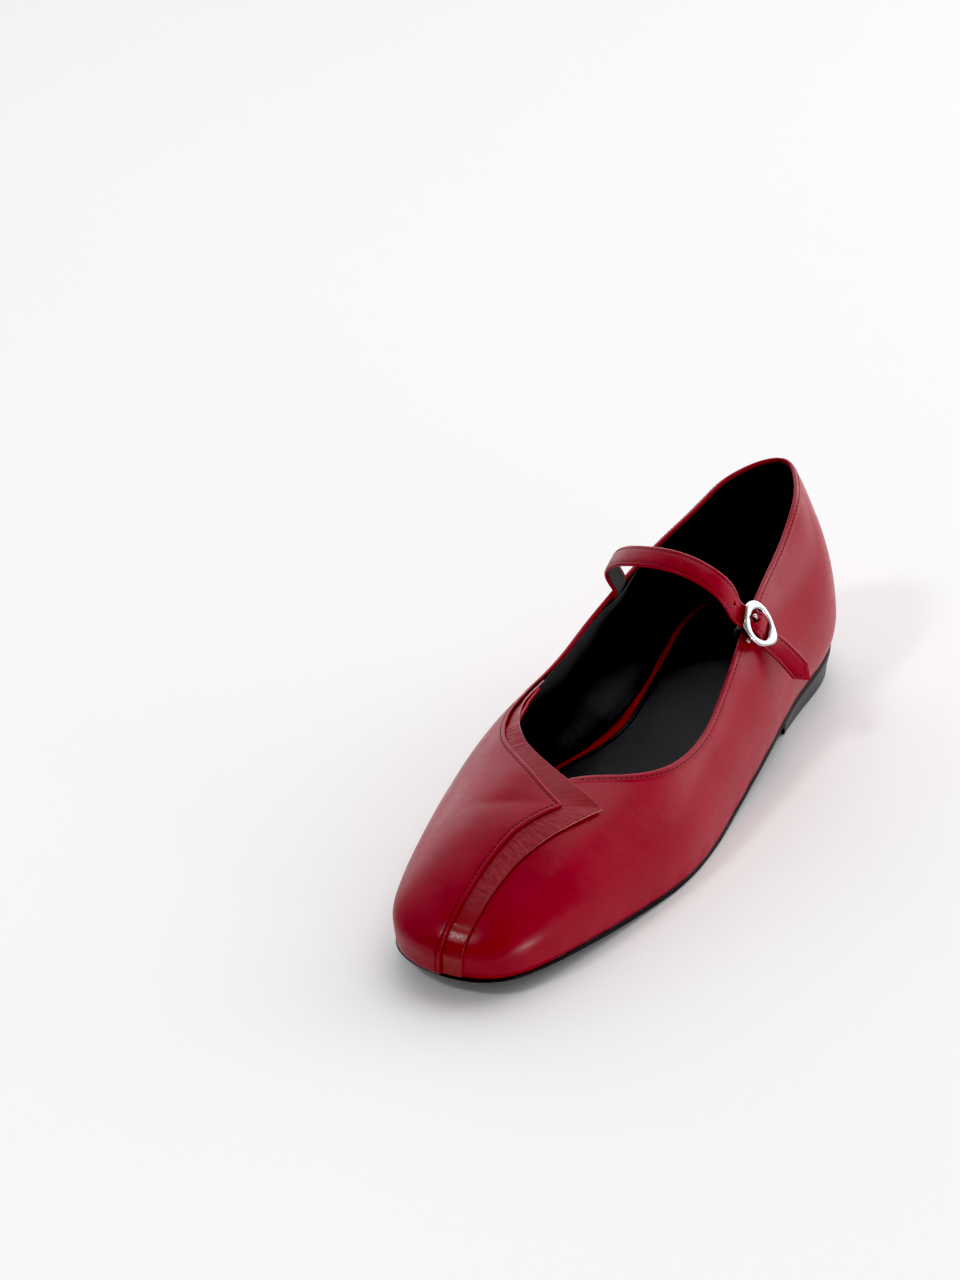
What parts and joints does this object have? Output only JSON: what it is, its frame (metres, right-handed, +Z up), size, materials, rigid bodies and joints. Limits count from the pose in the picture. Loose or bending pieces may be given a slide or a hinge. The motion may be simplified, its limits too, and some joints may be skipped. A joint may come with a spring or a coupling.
{
  "type": "mary jane ballet flat",
  "caption": "Left ballet flat in polished leather with an asymmetric vamp panel over a raw-edged underlay, an instep strap with an oval buckle on the outer side and a low heel.",
  "frame": {"origin": "floor point under the middle of the shoe", "axes": "toe points along -Y, heel along +Y, the outer side of the foot is +X, up is +Z"},
  "size_m": [0.0873, 0.2534, 0.0795],
  "materials": {
    "red_leather": "gloss",
    "band_leather": "satin",
    "lining_leather": "matte",
    "sole_rubber": "matte",
    "polished_metal": "polished",
    "black_elastic": "matte",
    "red_thread": "satin"
  },
  "bodies": {
    "root": {"upper": "red_leather", "vamp_band": "band_leather", "outsole": "sole_rubber", "heel_block": "sole_rubber", "insole": "lining_leather", "strap": "red_leather", "buckle_frame": "polished_metal", "buckle_prong": "polished_metal", "elastic_loop": "black_elastic"}
  },
  "joints": []
}
